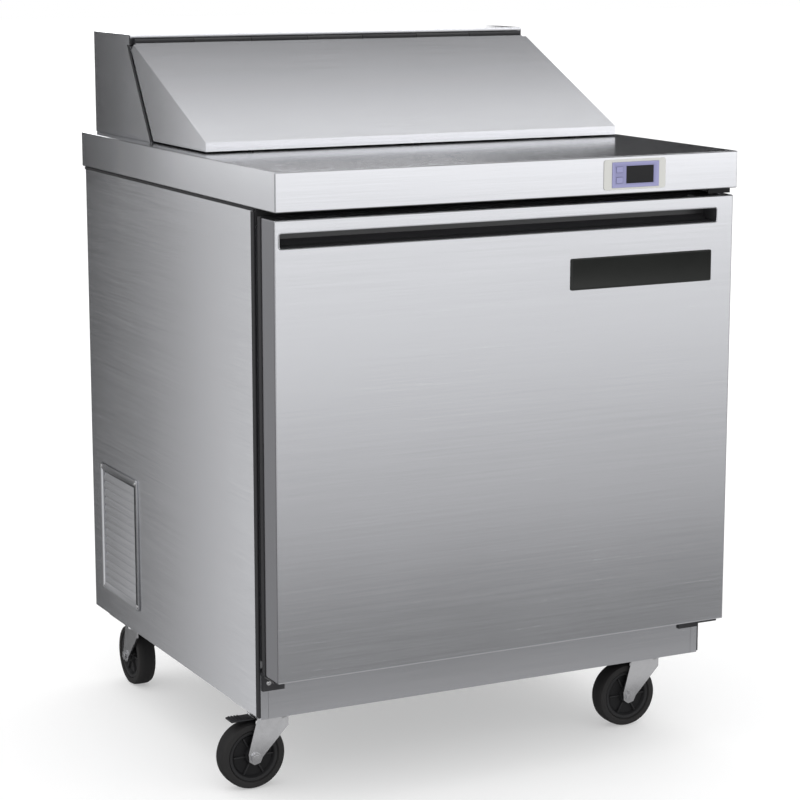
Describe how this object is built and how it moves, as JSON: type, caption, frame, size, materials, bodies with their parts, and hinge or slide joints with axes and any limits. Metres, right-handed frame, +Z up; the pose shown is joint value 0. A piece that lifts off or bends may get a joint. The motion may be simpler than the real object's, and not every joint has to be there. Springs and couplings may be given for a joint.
{
  "type": "sandwich prep table",
  "caption": "Refrigerated stainless sandwich prep table: hinged sloping lid over a pan well, one door with a recessed pull, and swivel casters.",
  "frame": {"origin": "on the floor, under the middle of the counter", "axes": "+Z up, -Y the door side, +X to the right of someone facing the door"},
  "size_m": [0.796, 0.7592, 1.061],
  "materials": {
    "body": "brushed grain",
    "pans": "drawn, satin",
    "zinc": "bright zinc plate",
    "galvanised": "galvanised, matte",
    "liner": "stucco sheet",
    "fins": "mill finish",
    "white_plastic": "satin",
    "black_plastic": "satin",
    "buttons": "moulded",
    "foam": "foamed in place",
    "gasket": "extruded vinyl",
    "tyre": "matte",
    "bezel": "fine texture",
    "display": "polished",
    "enamel": "gloss enamel",
    "copper": "drawn copper tube"
  },
  "bodies": {
    "cabinet": {"base_tray": "galvanised", "cabinet_insulation": "foam", "caster_plate_front_left": "zinc", "caster_plate_front_right": "zinc", "caster_plate_rear_left": "zinc", "caster_plate_rear_right": "zinc", "compressor": "enamel", "condenser": "fins", "controller_bezel": "bezel", "controller_display": "display", "cord_gland": "black_plastic", "counter_top": "body", "door_rest_bracket": "zinc", "evaporator_coil": "fins", "evaporator_cover": "white_plastic", "food_pans_1": "pans", "food_pans_2": "pans", "food_pans_3": "pans", "food_pans_4": "pans", "front_frame": "body", "hinge_bracket_bottom": "zinc", "hinge_bracket_top": "zinc", "hood": "body", "hood_hinge": "black_plastic", "inner_liner": "liner", "pan_support_frame": "body", "rear_panel": "galvanised", "refrigerant_pipe": "copper", "side_grille": "body", "side_panel_left": "body", "side_panel_right": "body", "well_liner": "white_plastic", "wire_shelf": "zinc"},
    "lid": {"lid_skin": "body", "lid_liner": "white_plastic"},
    "door": {"door_shell": "body", "door_core": "foam", "door_liner": "white_plastic", "door_handle_channel": "black_plastic", "door_gasket": "gasket", "door_badge": "black_plastic"},
    "evaporator_fan_rotor": {"evaporator_fan": "black_plastic"},
    "condenser_fan_rotor": {"condenser_fan": "fins"},
    "upper_button": {"button_upper": "buttons"},
    "lower_button": {"button_lower": "buttons"},
    "fork_front_left": {"caster_fork_front_left": "zinc"},
    "wheel_front_left": {"tyre_front_left": "tyre", "hub_front_left": "black_plastic"},
    "fork_front_right": {"caster_fork_front_right": "zinc"},
    "wheel_front_right": {"tyre_front_right": "tyre", "hub_front_right": "black_plastic"},
    "fork_rear_left": {"caster_fork_rear_left": "zinc"},
    "wheel_rear_left": {"tyre_rear_left": "tyre", "hub_rear_left": "black_plastic"},
    "fork_rear_right": {"caster_fork_rear_right": "zinc"},
    "wheel_rear_right": {"tyre_rear_right": "tyre", "hub_rear_right": "black_plastic"},
    "pedal_front_left": {"brake_pedal_front_left": "black_plastic"},
    "pedal_front_right": {"brake_pedal_front_right": "black_plastic"}
  },
  "joints": [
    {"name": "lid_hinge", "type": "hinge", "parent": "cabinet", "child": "lid", "pos_m": [0, 0.213, 1.05], "axis": [-1, 0, 0], "range_deg": [0, 118]},
    {"name": "door_hinge", "type": "hinge", "parent": "cabinet", "child": "door", "pos_m": [0.3545, -0.347, 0.5176], "axis": [0, 0, 1], "range_deg": [0, 110]},
    {"name": "evaporator_fan_spin", "type": "hinge", "parent": "cabinet", "child": "evaporator_fan_rotor", "pos_m": [0, 0.258, 0.665], "axis": [0, 1, 0], "continuous": true},
    {"name": "condenser_fan_spin", "type": "hinge", "parent": "cabinet", "child": "condenser_fan_rotor", "pos_m": [-0.272, 0.2465, 0.262], "axis": [1, 0, 0], "continuous": true},
    {"name": "upper_button_press", "type": "slide", "parent": "cabinet", "child": "upper_button", "axis": [0, 1, 0], "range_m": [0, 0.0008], "stiffness_N_per_m": 600},
    {"name": "lower_button_press", "type": "slide", "parent": "cabinet", "child": "lower_button", "axis": [0, 1, 0], "range_m": [0, 0.0008], "stiffness_N_per_m": 600},
    {"name": "swivel_front_left", "type": "hinge", "parent": "cabinet", "child": "fork_front_left", "pos_m": [-0.316, -0.225, 0.11], "axis": [0, 0, 1], "continuous": true},
    {"name": "roll_front_left", "type": "hinge", "parent": "fork_front_left", "child": "wheel_front_left", "pos_m": [-0.348, -0.225, 0.05], "axis": [0, -1, 0], "continuous": true},
    {"name": "swivel_front_right", "type": "hinge", "parent": "cabinet", "child": "fork_front_right", "pos_m": [0.316, -0.225, 0.11], "axis": [0, 0, 1], "continuous": true},
    {"name": "roll_front_right", "type": "hinge", "parent": "fork_front_right", "child": "wheel_front_right", "pos_m": [0.284, -0.225, 0.05], "axis": [0, -1, 0], "continuous": true},
    {"name": "swivel_rear_left", "type": "hinge", "parent": "cabinet", "child": "fork_rear_left", "pos_m": [-0.316, 0.283, 0.11], "axis": [0, 0, 1], "continuous": true},
    {"name": "roll_rear_left", "type": "hinge", "parent": "fork_rear_left", "child": "wheel_rear_left", "pos_m": [-0.316, 0.315, 0.05], "axis": [-1, 0, 0], "continuous": true},
    {"name": "swivel_rear_right", "type": "hinge", "parent": "cabinet", "child": "fork_rear_right", "pos_m": [0.316, 0.283, 0.11], "axis": [0, 0, 1], "continuous": true},
    {"name": "roll_rear_right", "type": "hinge", "parent": "fork_rear_right", "child": "wheel_rear_right", "pos_m": [0.348, 0.283, 0.05], "axis": [0, 1, 0], "continuous": true},
    {"name": "pedal_front_left", "type": "hinge", "parent": "fork_front_left", "child": "pedal_front_left", "pos_m": [-0.346, -0.225, 0.1058], "axis": [0, -1, 0], "range_deg": [0, 12]},
    {"name": "pedal_front_right", "type": "hinge", "parent": "fork_front_right", "child": "pedal_front_right", "pos_m": [0.286, -0.225, 0.1058], "axis": [0, -1, 0], "range_deg": [0, 12]}
  ]
}
